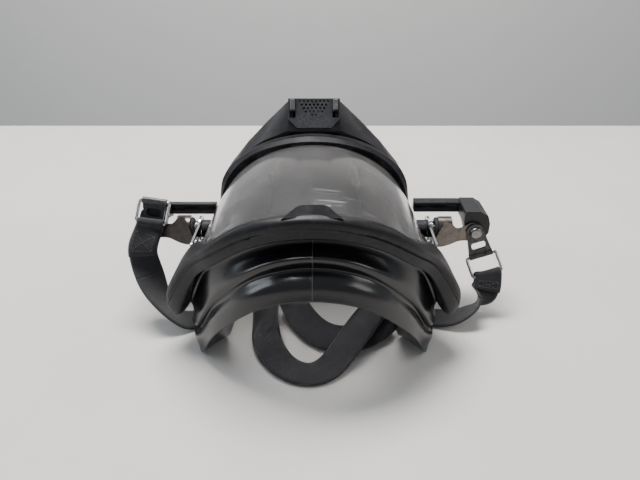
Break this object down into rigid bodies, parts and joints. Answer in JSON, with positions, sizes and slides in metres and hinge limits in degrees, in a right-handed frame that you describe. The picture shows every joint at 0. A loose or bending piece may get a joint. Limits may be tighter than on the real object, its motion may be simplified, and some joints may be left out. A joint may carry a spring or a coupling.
{
  "type": "full face respirator",
  "caption": "Full face breathing mask with wide curved lens, rubber face seal, front cover with grille and regulator port, and side brackets carrying rings and webbing.",
  "frame": {"origin": "on the table plane, under the middle of the footprint", "axes": "+X across the face, +Y from forehead to chin, +Z out of the face"},
  "size_m": [0.2556, 0.196, 0.1363],
  "materials": {
    "rubber": "satin",
    "lens": "clear, scratched",
    "frame": "satin",
    "rim": "gloss",
    "cover": "satin",
    "grille": "satin",
    "latch": "satin",
    "port": "satin",
    "silicone": "matte",
    "film": "satin",
    "cup": "matte",
    "chrome": "polished",
    "plate_steel": "dark, polished",
    "rivet_steel": "dark",
    "spring_steel": "bright",
    "arm": "satin",
    "sleeve": "matte",
    "tab": "satin",
    "webbing": "woven"
  },
  "bodies": {
    "mask": {"diaphragm_clamp": "port", "diaphragm_gasket": "silicone", "diaphragm_housing": "port", "exhalation_cover": "port", "exhalation_seat": "port", "exhalation_spring": "spring_steel", "face_blank": "rubber", "frame_nut_left": "rivet_steel", "frame_nut_right": "rivet_steel", "frame_screw_left": "rivet_steel", "frame_screw_right": "rivet_steel", "front_cover": "cover", "grille_panel": "grille", "harness_strap_front": "webbing", "harness_strap_rear": "webbing", "lens": "lens", "lens_frame_lower": "rim", "lens_frame_upper": "frame", "nose_cup": "cup", "nose_valve_seat_left": "port", "nose_valve_seat_right": "port", "port_gasket": "silicone", "regulator_port": "port", "side_plate_left": "chrome", "side_plate_right": "chrome", "speaking_diaphragm": "film", "strap_left": "webbing", "strap_right": "webbing", "swivel_spring_left": "spring_steel", "swivel_spring_right": "spring_steel", "swivel_stud_left": "rivet_steel", "swivel_stud_right": "rivet_steel"},
    "bracket_left": {"rubber_sleeve_left": "sleeve", "spring_plate_left": "plate_steel", "arm_end_block_left": "arm", "knurled_arm_left": "arm", "rivet_left": "rivet_steel"},
    "tab_left": {"strap_tab_left": "tab"},
    "ring_left": {"strap_ring_left": "chrome"},
    "latch_left": {"cover_latch_left": "latch"},
    "nose_valve_left": {"nose_valve_disc_left": "silicone"},
    "bracket_right": {"rubber_sleeve_right": "sleeve", "spring_plate_right": "plate_steel", "arm_end_block_right": "arm", "knurled_arm_right": "arm", "rivet_right": "rivet_steel"},
    "tab_right": {"strap_tab_right": "tab"},
    "ring_right": {"strap_ring_right": "chrome"},
    "latch_right": {"cover_latch_right": "latch"},
    "nose_valve_right": {"nose_valve_disc_right": "silicone"},
    "inhalation": {"inhalation_valve": "silicone"},
    "exhalation": {"exhalation_valve": "silicone"}
  },
  "joints": [
    {"name": "bracket_swivel_left", "type": "hinge", "parent": "mask", "child": "bracket_left", "pos_m": [-0.09253, 0.003, 0.05175], "axis": [1, 0, 0], "range_deg": [-8, 8], "deforming": ["strap_left"]},
    {"name": "tab_swing_left", "type": "hinge", "parent": "bracket_left", "child": "tab_left", "pos_m": [-0.11303, -0.00621, 0.05737], "axis": [0, 0.9511, -0.309], "range_deg": [-15, 15], "deforming": ["strap_left"]},
    {"name": "ring_flap_left", "type": "hinge", "parent": "tab_left", "child": "ring_left", "pos_m": [-0.11045, -0.00055, 0.0748], "axis": [0.9903, -0.043, -0.1324], "range_deg": [-12, 6], "deforming": ["strap_left"]},
    {"name": "latch_slide_left", "type": "slide", "parent": "mask", "child": "latch_left", "axis": [0, -0.5132, -0.8583], "range_m": [0, 0.0044]},
    {"name": "nose_valve_lift_left", "type": "slide", "parent": "mask", "child": "nose_valve_left", "axis": [0.9279, 0.0998, -0.3592], "range_m": [0, 0.0012], "stiffness_N_per_m": 20},
    {"name": "bracket_swivel_right", "type": "hinge", "parent": "mask", "child": "bracket_right", "pos_m": [0.08747, 0.003, 0.05175], "axis": [1, 0, 0], "range_deg": [-8, 8], "deforming": ["strap_right"]},
    {"name": "tab_swing_right", "type": "hinge", "parent": "bracket_right", "child": "tab_right", "pos_m": [0.10797, -0.0075, 0.05425], "axis": [0, 1, 0], "range_deg": [-15, 15], "deforming": ["strap_right"]},
    {"name": "ring_flap_right", "type": "hinge", "parent": "tab_right", "child": "ring_right", "pos_m": [0.1143, -0.0075, 0.03687], "axis": [0.9397, 0, 0.342], "range_deg": [-20, 20], "deforming": ["strap_right"]},
    {"name": "latch_slide_right", "type": "slide", "parent": "mask", "child": "latch_right", "axis": [0, -0.5132, -0.8583], "range_m": [0, 0.0044]},
    {"name": "nose_valve_lift_right", "type": "slide", "parent": "mask", "child": "nose_valve_right", "axis": [-0.9279, 0.0998, -0.3592], "range_m": [0, 0.0012], "stiffness_N_per_m": 20},
    {"name": "inhalation_lift", "type": "slide", "parent": "mask", "child": "inhalation", "axis": [0, -0.5, -0.866], "range_m": [0, 0.0014], "stiffness_N_per_m": 30},
    {"name": "exhalation_lift", "type": "slide", "parent": "mask", "child": "exhalation", "axis": [0, 0.8147, 0.5798], "range_m": [0, 0.0028], "stiffness_N_per_m": 20, "deforming": ["exhalation_spring"]}
  ]
}
